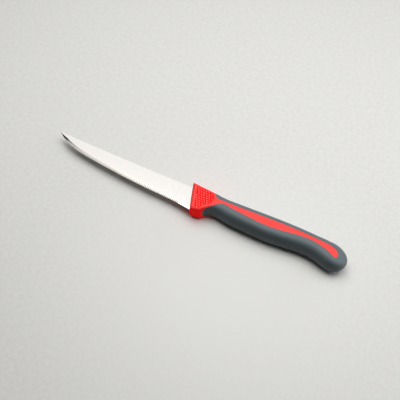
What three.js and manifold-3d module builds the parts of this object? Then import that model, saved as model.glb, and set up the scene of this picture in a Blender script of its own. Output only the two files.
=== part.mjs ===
import * as THREE from 'three';
import { mergeVertices } from 'three/addons/utils/BufferGeometryUtils.js';
import Module from 'manifold-3d';

// A vegetable knife lying on its side, in millimetres. +X runs from the tip to the butt, +Y from the
// cutting edge to the spine and +Z up through the knife's thickness. The pieces are drawn about a point
// on the blade's spine where the bolster begins, in the middle of the knife's thickness.

// Blade: lengths back from the tip, and the blade's width there
const BLADE_LENGTH = 112.7;
const BLADE_THICKNESS = 1.0;
const SPINE_DIP = 0.5;
const NOSE_BACK = 4.7;
const NOSE_WIDTH = 3.4;
const POINT_BACK = 11.7;
const POINT_WIDTH = 6.6;
const TIP_BACK = 20.7;
const TIP_WIDTH = 9.4;
const FORE_BACK = 42.7;
const FORE_WIDTH = 12.5;
const MIDDLE_BACK = 72.7;
const MIDDLE_WIDTH = 15.2;
const TIP_FLAT = 0.25;

// Blade: ground edge, teeth and the plain heel next to the bolster. Near the tip the bevel takes at most a
// share of the blade's width, and a tooth at most a share of the bevel.
const BEVEL_WIDTH = 2.0;
const BEVEL_MOST_SHARE = 0.9;
const EDGE_THICKNESS = 0.12;
const TOOTH_PITCH = 1.35;
const TOOTH_DEPTH = 0.35;
const TOOTH_MOST_SHARE = 0.5;
const TOOTHLESS_TIP = 2.0;
const HEEL_GAP = 3.0;
const HEEL_START_WIDTH = 16.9;
const HEEL_WIDTH = 18.0;

// Tang inside the handle, with the holes that the core's pegs fill
const ROOT_DEPTH = 4.7;
const TANG_LENGTH = 80.0;
const TANG_WIDTH = 7.6;
const TANG_DROP = 6.6;
const HOLE_DIAMETER = 4.2;
const HOLE_COUNT = 3;
const FIRST_HOLE = 30.0;
const LAST_HOLE_TO_END = 10.0;

// Handle outline seen from above: spine side, then belly side, as heights over or under the blade's spine.
// The swell lies at a share of the way from the finger notch to the waist.
const HANDLE_LENGTH = 122.0;
const SPINE_AT_FRONT = 1.7;
const NECK_X = 20.7;
const SPINE_AT_NECK = -0.2;
const CREST_TO_BUTT = 44.0;
const SPINE_AT_CREST = 1.6;
const SHOULDER_TO_BUTT = 19.0;
const SPINE_AT_SHOULDER = 1.05;
const SPINE_AT_BUTT = 0.55;
const BOLSTER_LIP = 1.7;
const CORNER_LIP = 0.7;
const NOTCH_X = 23.6;
const NOTCH_DEPTH = 13.85;
const NOTCH_RADIUS = 9.2;
const RISE_LENGTH = 12.1;
const RISE_DEPTH = 15.6;
const SWELL_SHARE = 0.55;
const SWELL_DEPTH = 16.4;
const WAIST_TO_BUTT = 29.4;
const WAIST_DEPTH = 13.9;
const HOOK_TO_BUTT = 2.0;
const HOOK_DEPTH = 19.4;
const BUTT_LENGTH = 14.1;
const BUTT_DROP = 8.8;

// Handle thickness and section: square at the bolster, rounded along the grip
const BOLSTER_THICKNESS = 10.6;
const GRIP_THICKNESS = 14.5;
const THICKENING_START = 6.0;
const THICKENING_LENGTH = 16.0;
const ROUNDING_START = 10.0;
const ROUNDING_LENGTH = 20.0;
const BOLSTER_FLANK = 2.3;
const BOLSTER_SQUARENESS = 4.5;
const GRIP_SQUARENESS = 2.2;
const FRONT_SET_BACK = 0.5;
const FRONT_SLANT = 20.5;
const FRONT_FLAT = 6.8;
const FRONT_CHAMFER = 40.0;

// Shallow thumb rest on both faces of the bolster
const DISH_X = 11.5;
const DISH_DROP = 8.5;
const DISH_LENGTH = 15.0;
const DISH_WIDTH = 17.0;
const DISH_DEPTH = 0.5;

// Soft grip: its wall over the core, and the bands that it shows on each face round the red stripe
const GRIP_WALL = 2.2;
const SPINE_BAND = 4.85;
const SPINE_BAND_FRONT = 17.6;
const SPINE_BAND_LEAD = 6.6;
const BELLY_BAND_BEHIND_CORNER = 1.0;
const BELLY_BAND_STEP = 0.35;
const BELLY_BAND_LEAD = 14.5;
const BELLY_BAND_AT_RISE = 7.75;
const BELLY_BAND_AT_SWELL = 6.8;
const BELLY_BAND_AT_WAIST = 7.85;
const BELLY_BAND_AT_HOOK = 8.0;
const BELLY_BAND_AT_BUTT = 6.7;
const BAND_HOOK_TO_BUTT = 15.0;
const BUTT_BAND = 7.1;
const STRIPE_END_SPINE = 14.0;
const STRIPE_END_BELLY = 3.5;
const STRIPE_END_DROP = 9.1;
const STRIPE_END_SQUARENESS = 2.3;

// Gap that the drawn pieces keep to each other
const FIT_GAP = 0.3;

// Fineness of the faceted surfaces
const FLANK_STEPS = 5;
const FACE_STEPS = 5;
const FRONT_STEP = 2.0;
const NOTCH_STEPS = 6;
const GRIP_STEP = 5.0;
const BUTT_STEPS = 8;
const STRIPE_STEP = 2.5;
const STRIPE_END_STEPS = 8;

const bolsterDepth = HEEL_WIDTH + BOLSTER_LIP;
const cornerDepth = HEEL_WIDTH + CORNER_LIP;

// Far enough to be outside the handle on every side
const outside = 2 * (bolsterDepth + GRIP_THICKNESS);

const wasm = await Module();
wasm.setup();

const steel = new THREE.MeshStandardMaterial({ color: 0xe9e6e0, roughness: 0.28, metalness: 1.0 });
const redPlastic = new THREE.MeshStandardMaterial({ color: 0xe3262b, roughness: 0.45, metalness: 0.0 });
const greyRubber = new THREE.MeshStandardMaterial({ color: 0x485357, roughness: 0.75, metalness: 0.0 });

const clamp01 = (t) => Math.min(1, Math.max(0, t));
const ease = (t) => clamp01(t) ** 2 * (3 - 2 * clamp01(t));
const mix = (a, b, t) => a + (b - a) * t;

// Even places from start up to, but without, end.
function placesBetween(start, end, count) {
  return Array.from({ length: count }, (_, i) => mix(start, end, i / count));
}

// The same, at most a step apart.
function placesApart(start, end, step) {
  return placesBetween(start, end, Math.max(0, Math.ceil((end - start) / step)));
}

// Places that crowd together towards start + length, as on a quarter of a circle.
function placesRound(start, length, count) {
  return placesBetween(0, Math.PI / 2, count).map((angle) => start + length * Math.sin(angle));
}

// A smooth line y(x) through [x, y] points, level wherever it turns round and, if asked, at its ends.
function smoothLine(points, levelEnds) {
  const last = points.length - 1;
  const chord = (i, j) => (points[j][1] - points[i][1]) / (points[j][0] - points[i][0]);
  const slopes = points.map((point, i) => {
    if (i === 0) return levelEnds ? 0 : chord(0, 1);
    if (i === last) return levelEnds ? 0 : chord(last - 1, last);
    return chord(i - 1, i) * chord(i, i + 1) > 0 ? chord(i - 1, i + 1) : 0;
  });
  return (x) => {
    const i = Math.max(0, points.findLastIndex((point, k) => k < last && point[0] <= x));
    const [x0, y0] = points[i];
    const [x1, y1] = points[i + 1];
    const t = clamp01((x - x0) / (x1 - x0));
    const pull = (t ** 3 - 2 * t ** 2 + t) * slopes[i] + (t ** 3 - t ** 2) * slopes[i + 1];
    return mix(y0, y1, ease(t)) + (x1 - x0) * pull;
  };
}

// A closed skin over rings of equal count, each end closed on its own centre point.
function loft(rings, startPoint, endPoint) {
  const count = rings[0].length;
  const points = [...rings.flat(), startPoint, endPoint];
  const startIndex = points.length - 2;
  const endIndex = points.length - 1;
  const lastRing = (rings.length - 1) * count;
  const faces = [];
  for (let j = 0; j < count; j++) {
    const k = (j + 1) % count;
    faces.push(startIndex, k, j, endIndex, lastRing + j, lastRing + k);
    for (let base = 0; base < lastRing; base += count) {
      const next = base + count;
      faces.push(base + j, base + k, next + k, base + j, next + k, next + j);
    }
  }
  const geometry = new THREE.BufferGeometry().setFromPoints(points);
  geometry.setIndex(faces);
  return geometry;
}

function extrudeThrough(shape, thickness) {
  const geometry = new THREE.ExtrudeGeometry(shape, { depth: thickness, bevelEnabled: false });
  return geometry.translate(0, 0, -thickness / 2);
}

function solidOf(geometry) {
  geometry.deleteAttribute('normal');
  geometry.deleteAttribute('uv');
  const merged = mergeVertices(geometry);
  const vertProperties = new Float32Array(merged.attributes.position.array);
  const triVerts = new Uint32Array(merged.index.array);
  return new wasm.Manifold(new wasm.Mesh({ numProp: 3, vertProperties, triVerts }));
}

function meshOf(name, solid, material) {
  const { vertProperties, triVerts } = solid.getMesh();
  const geometry = new THREE.BufferGeometry();
  geometry.setAttribute('position', new THREE.BufferAttribute(vertProperties, 3));
  geometry.setIndex(new THREE.BufferAttribute(triVerts, 1));
  geometry.computeVertexNormals();
  const mesh = new THREE.Mesh(geometry, material);
  mesh.name = name;
  return mesh;
}

// Blade

const slant = Math.tan(THREE.MathUtils.degToRad(FRONT_SLANT));
const frontAt = (y) => FRONT_SET_BACK - y * slant;
const heelX = frontAt(-HEEL_WIDTH);
const rootX = heelX + ROOT_DEPTH;
const edgeLine = smoothLine([
  [-BLADE_LENGTH, -TIP_FLAT],
  [NOSE_BACK - BLADE_LENGTH, -NOSE_WIDTH],
  [POINT_BACK - BLADE_LENGTH, -POINT_WIDTH],
  [TIP_BACK - BLADE_LENGTH, -TIP_WIDTH],
  [FORE_BACK - BLADE_LENGTH, -FORE_WIDTH],
  [MIDDLE_BACK - BLADE_LENGTH, -MIDDLE_WIDTH],
  [-HEEL_GAP, -HEEL_START_WIDTH],
  [heelX, -HEEL_WIDTH],
], false);

// The blade's spine, which dips as a parabola and is lowest halfway along.
function bladeSpine(x) {
  const along = clamp01(-x / BLADE_LENGTH);
  return -SPINE_DIP * 4 * along * (1 - along);
}

function bladeRing(x, toothCut) {
  const spine = bladeSpine(x);
  const edge = Math.min(edgeLine(x), spine - TIP_FLAT);
  const bevel = Math.min(edge + BEVEL_WIDTH, mix(edge, spine, BEVEL_MOST_SHARE));
  const cut = Math.min(edge + toothCut, mix(edge, bevel, TOOTH_MOST_SHARE));
  const half = BLADE_THICKNESS / 2;
  const thin = EDGE_THICKNESS / 2;
  const outline = [[spine, half], [bevel, half], [cut, thin], [cut, -thin], [bevel, -half], [spine, -half]];
  return outline.map(([y, z]) => new THREE.Vector3(x, y, z));
}

function bladePlate() {
  const toothedLength = BLADE_LENGTH - TOOTHLESS_TIP - HEEL_GAP;
  const teeth = Math.round(toothedLength / TOOTH_PITCH);
  const rings = [bladeRing(-BLADE_LENGTH, 0)];
  for (let i = 0; i <= 2 * teeth; i++) {
    const x = TOOTHLESS_TIP - BLADE_LENGTH + (toothedLength * i) / (2 * teeth);
    rings.push(bladeRing(x, i % 2 ? TOOTH_DEPTH : 0));
  }
  rings.push(bladeRing((heelX - HEEL_GAP) / 2, 0), bladeRing(heelX, 0), bladeRing(rootX, 0));
  const middle = (ring) => ring.reduce((sum, p) => sum.add(p), new THREE.Vector3()).divideScalar(ring.length);
  return loft(rings, middle(rings[0]), middle(rings.at(-1)));
}

// The tang's plan, grown all round by the clearance, with its holes shrunk by it.
function tangShape(startX, clearance) {
  const top = -TANG_DROP + TANG_WIDTH / 2 + clearance;
  const bottom = -TANG_DROP - TANG_WIDTH / 2 - clearance;
  const end = TANG_LENGTH + clearance;
  const corners = [[startX, bottom], [end, bottom], [end, top], [startX, top]];
  const shape = new THREE.Shape(corners.map(([x, y]) => new THREE.Vector2(x, y)));
  const lastHole = TANG_LENGTH - LAST_HOLE_TO_END;
  for (let i = 0; i < HOLE_COUNT; i++) {
    const x = mix(FIRST_HOLE, lastHole, i / Math.max(1, HOLE_COUNT - 1));
    const hole = new THREE.Path();
    hole.absarc(x, -TANG_DROP, HOLE_DIAMETER / 2 - clearance, 0, 2 * Math.PI);
    shape.holes.push(hole);
  }
  return shape;
}

function bladeSolid() {
  const tang = extrudeThrough(tangShape(rootX - ROOT_DEPTH / 2, 0), BLADE_THICKNESS);
  return solidOf(bladePlate()).add(solidOf(tang));
}

// The space that the blade's root and tang fill in the core, open at the bolster's front.
function tangSlot() {
  const thickness = BLADE_THICKNESS + 2 * FIT_GAP;
  const end = rootX + FIT_GAP;
  const bottom = -HEEL_WIDTH - FIT_GAP;
  const corners = [[-bolsterDepth, bottom], [end, bottom], [end, FIT_GAP], [-bolsterDepth, FIT_GAP]];
  const root = new THREE.Shape(corners.map(([x, y]) => new THREE.Vector2(x, y)));
  const tang = extrudeThrough(tangShape(rootX, FIT_GAP), thickness);
  return solidOf(extrudeThrough(root, thickness)).add(solidOf(tang));
}

// Handle

const spineLine = smoothLine([
  [0, SPINE_AT_FRONT],
  [NECK_X, SPINE_AT_NECK],
  [HANDLE_LENGTH - CREST_TO_BUTT, SPINE_AT_CREST],
  [HANDLE_LENGTH - SHOULDER_TO_BUTT, SPINE_AT_SHOULDER],
  [HANDLE_LENGTH, SPINE_AT_BUTT],
], true);
const riseX = NOTCH_X + RISE_LENGTH;
const waistX = HANDLE_LENGTH - WAIST_TO_BUTT;
const swellX = mix(NOTCH_X, waistX, SWELL_SHARE);
const gripBelly = smoothLine([
  [NOTCH_X, -NOTCH_DEPTH],
  [riseX, -RISE_DEPTH],
  [swellX, -SWELL_DEPTH],
  [waistX, -WAIST_DEPTH],
  [HANDLE_LENGTH - HOOK_TO_BUTT, -HOOK_DEPTH],
], true);
const bellyBand = smoothLine([
  [riseX, BELLY_BAND_AT_RISE],
  [swellX, BELLY_BAND_AT_SWELL],
  [waistX, BELLY_BAND_AT_WAIST],
  [HANDLE_LENGTH - BAND_HOOK_TO_BUTT, BELLY_BAND_AT_HOOK],
  [HANDLE_LENGTH - BUTT_BAND, BELLY_BAND_AT_BUTT],
], true);
const notchTurn = Math.acos(1 - (cornerDepth - NOTCH_DEPTH) / NOTCH_RADIUS);
const notchPlaces = placesBetween(notchTurn, 0, NOTCH_STEPS).map(
  (turn) => NOTCH_X - NOTCH_RADIUS * Math.sin(turn),
);
const bolsterCorner = notchPlaces[0];
const bellyBandFront = bolsterCorner + BELLY_BAND_BEHIND_CORNER;

// The belly rises straight along the bolster, runs round the finger notch's arc and on along the grip.
function bellyLine(x) {
  const frontCorner = frontAt(-bolsterDepth);
  const along = clamp01((x - frontCorner) / (bolsterCorner - frontCorner));
  if (x <= bolsterCorner) return -mix(bolsterDepth, cornerDepth, along);
  if (x >= NOTCH_X) return gripBelly(x);
  return Math.sqrt(NOTCH_RADIUS ** 2 - (x - NOTCH_X) ** 2) - NOTCH_RADIUS - NOTCH_DEPTH;
}

const rounding = (x) => ease((x - ROUNDING_START) / ROUNDING_LENGTH);
const thickening = (x) => ease((x - THICKENING_START) / THICKENING_LENGTH);

function dish(x, y) {
  const across = (2 * (x - DISH_X)) / DISH_LENGTH;
  const down = (2 * (y + DISH_DROP)) / DISH_WIDTH;
  return DISH_DEPTH * Math.max(0, 1 - across ** 2 - down ** 2);
}

// Points round the handle's section at x, sunk everywhere by the inset and drawn together along the butt.
function handleRing(x, inset) {
  const closing = Math.max(0, (x - HANDLE_LENGTH + BUTT_LENGTH) / (BUTT_LENGTH - inset));
  const scale = Math.sqrt(1 - closing ** 2);
  const onButt = (y) => mix(-BUTT_DROP, y, scale);
  const spine = onButt(spineLine(x) - inset);
  const belly = onButt(bellyLine(x) + inset);
  const half = scale * (mix(BOLSTER_THICKNESS, GRIP_THICKNESS, thickening(x)) / 2 - inset);
  const spineFlank = scale * (mix(BOLSTER_FLANK, SPINE_BAND, rounding(x)) - inset / 2);
  const bellyFlank = scale * (mix(BOLSTER_FLANK, bellyBand(x), rounding(x)) - inset / 2);
  const power = 2 / mix(BOLSTER_SQUARENESS, GRIP_SQUARENESS, rounding(x));
  const faceStart = spine - spineFlank;
  const faceEnd = belly + bellyFlank;
  const upper = [];
  for (let i = 0; i < FLANK_STEPS; i++) {
    const angle = (Math.PI / 2) * (i / FLANK_STEPS);
    upper.push([faceStart + spineFlank * Math.cos(angle) ** power, half * Math.sin(angle) ** power]);
  }
  for (let i = 0; i < FACE_STEPS; i++) {
    const y = mix(faceStart, faceEnd, i / FACE_STEPS);
    upper.push([y, half - dish(x, y)]);
  }
  for (let i = 0; i < FLANK_STEPS; i++) {
    const angle = (Math.PI / 2) * (i / FLANK_STEPS);
    upper.push([faceEnd - bellyFlank * Math.sin(angle) ** power, half * Math.cos(angle) ** power]);
  }
  upper.push([belly, 0]);
  const lower = upper.slice(1, -1).reverse().map(([y, z]) => [y, -z]);
  return [...upper, ...lower].map(([y, z]) => new THREE.Vector3(x, y, z));
}

// The handle's whole outer form, or the same form sunk by an inset, from startX to the butt.
function handleForm(startX, inset) {
  const gripStart = Math.max(NOTCH_X, ROUNDING_START + ROUNDING_LENGTH);
  const buttStart = HANDLE_LENGTH - BUTT_LENGTH;
  const stations = [
    ...placesApart(startX, bolsterCorner, FRONT_STEP),
    ...notchPlaces,
    ...placesApart(NOTCH_X, gripStart, FRONT_STEP),
    ...placesApart(gripStart, buttStart, GRIP_STEP),
    ...placesRound(buttStart, BUTT_LENGTH - inset, BUTT_STEPS),
  ];
  const rings = stations.map((x) => handleRing(x, inset));
  const startPoint = new THREE.Vector3(startX, -BUTT_DROP, 0);
  const endPoint = new THREE.Vector3(HANDLE_LENGTH - inset, -BUTT_DROP, 0);
  return solidOf(loft(rings, startPoint, endPoint));
}

// Everything ahead of the bolster's front, which slants back towards the edge and has chamfered sides.
function frontCut() {
  const flat = FRONT_FLAT / 2;
  const lean = (outside - flat) * Math.tan(THREE.MathUtils.degToRad(FRONT_CHAMFER));
  const side = [[0, flat], [lean, outside], [-outside, outside]].map(([x, z]) => [x + frontAt(0), z]);
  const corners = [...side.map(([x, z]) => [x, -z]).reverse(), ...side];
  const shape = new THREE.Shape(corners.map(([x, y]) => new THREE.Vector2(x, y)));
  const geometry = extrudeThrough(shape, 2 * outside).rotateX(Math.PI / 2);
  return solidOf(geometry.applyMatrix4(new THREE.Matrix4().makeShear(0, 0, -slant, 0, 0, 0)));
}

// The red of each face seen from above: the bolster, the neck and the stripe, grown by the clearance.
function stripeShape(clearance) {
  const bellyFront = bellyBandFront + clearance;
  const spineFront = SPINE_BAND_FRONT + clearance;
  const end = HANDLE_LENGTH - BUTT_BAND + clearance;
  const round = (t) => (1 - clamp01(t) ** STRIPE_END_SQUARENESS) ** (1 / STRIPE_END_SQUARENESS);
  const upper = (x) => {
    const lead = Math.sin((Math.PI / 2) * clamp01((x - spineFront) / SPINE_BAND_LEAD));
    const line = spineLine(x) - SPINE_BAND * lead + clearance;
    return mix(-STRIPE_END_DROP, line, round((x - end + STRIPE_END_SPINE) / STRIPE_END_SPINE));
  };
  const lower = (x) => {
    const lead = ease((x - bellyFront) / BELLY_BAND_LEAD);
    const line = bellyLine(x) + mix(BELLY_BAND_STEP, bellyBand(x), lead) - clearance;
    return mix(-STRIPE_END_DROP, line, round((x - end + STRIPE_END_BELLY) / STRIPE_END_BELLY));
  };
  const turn = end - STRIPE_END_BELLY;
  const endPlaces = placesRound(turn, STRIPE_END_BELLY, STRIPE_END_STEPS);
  const lowerPlaces = [
    bellyFront,
    ...notchPlaces.filter((x) => x > bellyFront),
    ...placesApart(NOTCH_X, turn, STRIPE_STEP),
    ...endPlaces,
  ];
  const upperPlaces = [...placesApart(spineFront, turn, STRIPE_STEP), ...endPlaces];
  return new THREE.Shape([
    new THREE.Vector2(-outside, -outside),
    new THREE.Vector2(bellyFront, -outside),
    ...lowerPlaces.map((x) => new THREE.Vector2(x, lower(x))),
    new THREE.Vector2(end, -STRIPE_END_DROP),
    ...upperPlaces.map((x) => new THREE.Vector2(x, upper(x))).reverse(),
    new THREE.Vector2(spineFront, outside),
    new THREE.Vector2(-outside, outside),
  ]);
}

const stripePrism = (clearance) => solidOf(extrudeThrough(stripeShape(clearance), outside));
const coreStart = Math.min(bellyBandFront, SPINE_BAND_FRONT) - GRIP_WALL;

function coreSolid(handle) {
  const shown = handle.intersect(stripePrism(0)).subtract(frontCut());
  return shown.add(handleForm(coreStart, GRIP_WALL)).subtract(tangSlot());
}

function gripSolid(handle) {
  return handle.subtract(stripePrism(FIT_GAP)).subtract(handleForm(coreStart, GRIP_WALL - FIT_GAP));
}

const handle = handleForm(-BOLSTER_THICKNESS / 2, 0);
const knife = new THREE.Group();
knife.add(meshOf('blade', bladeSolid(), steel));
knife.add(meshOf('handle_core', coreSolid(handle), redPlastic));
knife.add(meshOf('soft_grip', gripSolid(handle), greyRubber));

// The origin is on the surface that the knife lies on, under the middle of its outline.
const box = new THREE.Box3().setFromObject(knife);
const middle = box.getCenter(new THREE.Vector3());
knife.position.set(-middle.x, -middle.y, -box.min.z);

const part = new THREE.Group();
part.add(knife);

export default part;
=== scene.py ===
"""A vegetable knife as it looks: a toothed steel blade, a red handle core and a soft grey grip over it.

Each mesh is worked out in the knife's own frame, in metres: x runs back from a place on the blade's spine
where the bolster begins, y goes from the cutting edge to the spine, and z goes up from the middle of the
thickness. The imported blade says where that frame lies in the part, and each finished mesh is moved there.

A place round the handle's section is a number: 0 is the middle of the spine, 1 and 2 are the face's edges,
and 3 is the middle of the belly.
"""

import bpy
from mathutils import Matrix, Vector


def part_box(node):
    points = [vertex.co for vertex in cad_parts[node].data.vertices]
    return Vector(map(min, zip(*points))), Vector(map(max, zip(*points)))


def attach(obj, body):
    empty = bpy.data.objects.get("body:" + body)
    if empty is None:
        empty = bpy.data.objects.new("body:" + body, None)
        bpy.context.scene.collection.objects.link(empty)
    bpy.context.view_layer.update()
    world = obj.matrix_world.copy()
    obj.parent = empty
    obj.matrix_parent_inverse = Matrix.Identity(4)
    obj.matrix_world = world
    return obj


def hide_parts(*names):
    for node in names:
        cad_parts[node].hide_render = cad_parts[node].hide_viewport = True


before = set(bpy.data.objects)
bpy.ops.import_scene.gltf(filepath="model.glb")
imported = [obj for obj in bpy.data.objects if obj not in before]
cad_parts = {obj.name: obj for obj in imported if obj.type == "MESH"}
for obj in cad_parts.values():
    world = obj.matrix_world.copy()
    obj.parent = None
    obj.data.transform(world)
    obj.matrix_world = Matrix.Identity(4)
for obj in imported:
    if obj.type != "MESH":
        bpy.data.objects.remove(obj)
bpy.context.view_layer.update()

import logging
import math
from dataclasses import dataclass, field
from enum import Enum

import bmesh
import bpy
import numpy as np
from mathutils import Matrix, Vector
from mathutils.kdtree import KDTree

LOG = logging.getLogger("knife")
Array = np.ndarray
Triple = tuple[float, float, float]
Colour = Triple
Place = tuple[float, float]
Faces = list[tuple[int, ...]]
Piece = bpy.types.Object
Finish = bpy.types.Material
MM = 0.001
BODY = "root"
# The point attribute that asks for a painted highlight where above 0 and painted shade where below 0.
PAINTED_LIGHT_MARK = "relief"
MERGE_DISTANCE = 0.0003 * MM
BLADE_LENGTH = 112.7 * MM
BELLY_END = 3.0


def mix(first: Array, last: Array, share: Array) -> Array:
    """The value that lies at a share of the way from first to last."""
    return first + (last - first) * share


def ease(share: Array) -> Array:
    """A smooth rise from 0 to 1 as share goes from 0 to 1, level at both ends."""
    kept = np.clip(share, 0.0, 1.0)
    return kept * kept * (3.0 - 2.0 * kept)


def arch(share: "Array | Wire") -> "Array | Wire":
    """A rise from 0 to 1 and back to 0 as share goes from 0 to 1."""
    return share * (1.0 - share) * 4.0


def spread(first: float, last: float, count: int, lean: float = 1.0) -> Array:
    """Places from first to last.

    Args:
        first: Where they start.
        last: Where they end.
        count: How many there are, both ends among them.
        lean: Above 1 crowds them towards first.

    Returns:
        The places in order.
    """
    return mix(first, last, np.linspace(0.0, 1.0, count) ** lean)


def soft_highest(first: Array, second: Array, blend: float) -> Array:
    """The higher of two lines, with the corner where they cross rounded over about the blend's height."""
    near = np.maximum(blend - np.abs(first - second), 0.0) / blend
    return np.maximum(first, second) + near * near * blend / 4.0


@dataclass(frozen=True)
class SmoothLine:
    """A curve through points, x rising, which never swings past them."""

    points: tuple[Place, ...]
    level_ends: bool = True

    def __call__(self, places: Array) -> Array:
        """The curve's heights.

        Args:
            places: Where along x.

        Returns:
            The height at each place.
        """
        x, y = np.array(self.points).T
        widths = np.diff(x)
        chords = np.diff(y) / widths
        across = (y[2:] - y[:-2]) / (x[2:] - x[:-2])
        inner = np.where(chords[1:] * chords[:-1] > 0.0, across, 0.0)
        ends = (0.0, 0.0) if self.level_ends else (chords[0], chords[-1])
        slopes = np.concatenate([ends[:1], inner, ends[1:]])
        at = np.clip(np.searchsorted(x, places, side="right") - 1, 0, len(widths) - 1)
        t = np.clip((places - x[at]) / widths[at], 0.0, 1.0)
        rise = (t**3 - 2.0 * t**2 + t) * slopes[at] + (t**3 - t**2) * slopes[at + 1]
        return mix(y[at], y[at + 1], ease(t)) + widths[at] * rise


class Wire:
    """An output socket of a node, with arithmetic that adds Math nodes to its tree."""

    def __init__(self, graph: "Graph", socket: bpy.types.NodeSocket) -> None:
        """Remembers the socket and the graph that it belongs to."""
        self.graph = graph
        self.socket = socket

    def __add__(self, other: "Wire | float") -> "Wire":
        """This plus other."""
        return self.graph.math("ADD", self, other)

    def __sub__(self, other: "Wire | float") -> "Wire":
        """This less other."""
        return self.graph.math("SUBTRACT", self, other)

    def __rsub__(self, other: float) -> "Wire":
        """Other less this."""
        return self.graph.math("SUBTRACT", other, self)

    def __mul__(self, other: "Wire | float") -> "Wire":
        """This times other."""
        return self.graph.math("MULTIPLY", self, other)

    def __truediv__(self, other: "Wire | float") -> "Wire":
        """This divided by other."""
        return self.graph.math("DIVIDE", self, other)

    def __mod__(self, other: "Wire | float") -> "Wire":
        """What is left of this after whole numbers of other."""
        return self.graph.math("MODULO", self, other)

    __radd__ = __add__
    __rmul__ = __mul__


class Graph:
    """A node tree that is written as expressions."""

    def __init__(self, tree: bpy.types.NodeTree) -> None:
        """Takes the tree to write in."""
        self.tree = tree

    def node(self, kind: str, settings: dict[str, object] | None = None,
             **sockets: object) -> bpy.types.Node:
        """Adds a node.

        Args:
            kind: The node's type.
            settings: Its own settings, which are set first.
            sockets: A value or wire for each input, by name with _ for a space, or by number after in_.

        Returns:
            The node.
        """
        made = self.tree.nodes.new(kind)
        for name, value in (settings or {}).items():
            setattr(made, name, value)
        for name, value in sockets.items():
            number = name.removeprefix("in_")
            key = int(number) if number.isdigit() else name.replace("_", " ")
            self.feed(made.inputs[key], value)
        return made

    def feed(self, socket: bpy.types.NodeSocket, value: object) -> None:
        """Links a wire to an input socket, or sets the socket's own value.

        Args:
            socket: The input.
            value: The wire or the value.
        """
        if isinstance(value, Wire):
            self.tree.links.new(value.socket, socket)
        else:
            socket.default_value = value

    def wire(self, kind: str, out: str | int = 0, settings: dict[str, object] | None = None,
             **sockets: object) -> Wire:
        """Adds a node as node does and gives one of its outputs.

        Args:
            kind: The node's type.
            out: The output's name or number.
            settings: Its own settings.
            sockets: A value or wire for each input.

        Returns:
            The output.
        """
        return Wire(self, self.node(kind, settings, **sockets).outputs[out])

    def math(self, operation: str, first: Wire | float, second: Wire | float = 0.0) -> Wire:
        """Adds a Math node and gives its output."""
        return self.wire("ShaderNodeMath", 0, {"operation": operation}, in_0=first, in_1=second)

    def between(self, first: Wire | Colour, last: Colour, share: Wire) -> Wire:
        """A colour that lies at a share of the way from one to another.

        Args:
            first: The colour at 0.
            last: The colour at 1.
            share: How far along it lies.

        Returns:
            The colour.
        """
        settings = {"data_type": "RGBA"}
        start = first if isinstance(first, Wire) else (*first, 1.0)
        return self.wire("ShaderNodeMix", 2, settings, in_0=share, in_6=start, in_7=(*last, 1.0))

    def stretched(self, value: Wire, low: float, high: float) -> Wire:
        """The value with the range from low to high stretched to 0 to 1 and the rest cut off."""
        return self.wire("ShaderNodeMapRange", 0, Value=value, From_Min=low, From_Max=high)

    def seen(self) -> Wire:
        """Tells a background that is looked at from the light that it sheds.

        Returns:
            1 for what the camera, metal and glass see, 0 for light on its way to other surfaces.
        """
        rays = self.node("ShaderNodeLightPath").outputs
        ways = ("Is Camera Ray", "Is Glossy Ray", "Is Transmission Ray")
        camera, glossy, through = (Wire(self, rays[way]) for way in ways)
        return self.math("MINIMUM", camera + glossy + through, 1.0)


class SurfaceGraph(Graph):
    """A material's tree round its Principled shader."""

    usual_noise: Place = (0.3, 0.7)

    def __init__(self, name: str) -> None:
        """Starts a material.

        Args:
            name: Its name.
        """
        self.material = bpy.data.materials.new(name)
        self.material.use_nodes = True
        super().__init__(self.material.node_tree)
        self.shader = self.tree.nodes["Principled BSDF"]
        self.place = self.wire("ShaderNodeTexCoord", "Object")

    def noise(self, size: Triple, detail: float) -> Wire:
        """A cloudy value from 0 to 1.

        Args:
            size: How long its blots are along x, y and z, in metres.
            detail: How many finer layers it has.

        Returns:
            The value.
        """
        scale = tuple(1.0 / length for length in size)
        place = self.wire("ShaderNodeVectorMath", 0, {"operation": "MULTIPLY"}, in_0=self.place, in_1=scale)
        return self.wire("ShaderNodeTexNoise", 0, Vector=place, Scale=1.0, Detail=detail)

    def clouds(self, size: Triple, detail: float) -> Wire:
        """Noise with the range that most of it keeps to stretched to 0 to 1."""
        return self.stretched(self.noise(size, detail), *self.usual_noise)

    def relief(self) -> tuple[Wire, Wire]:
        """The painted highlight share and the painted shade share, from the mesh's relief attribute."""
        relief = self.wire("ShaderNodeAttribute", "Fac", {"attribute_name": PAINTED_LIGHT_MARK})
        return self.math("MAXIMUM", relief, 0.0), self.math("MAXIMUM", relief * -1.0, 0.0)

    def dress(self, **sockets: object) -> None:
        """Sets or links the shader's sockets, named with _ for a space."""
        for name, value in sockets.items():
            self.feed(self.shader.inputs[name.replace("_", " ")], value)

    def bump(self, height: Wire, depth: float, strength: float) -> None:
        """Gives the surface a relief.

        Args:
            height: The relief, from 0 to 1.
            depth: How deep it is in metres.
            strength: How far the shading follows it.
        """
        relief = self.wire("ShaderNodeBump", 0, Height=height, Distance=depth, Strength=strength)
        self.dress(Normal=relief)


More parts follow.
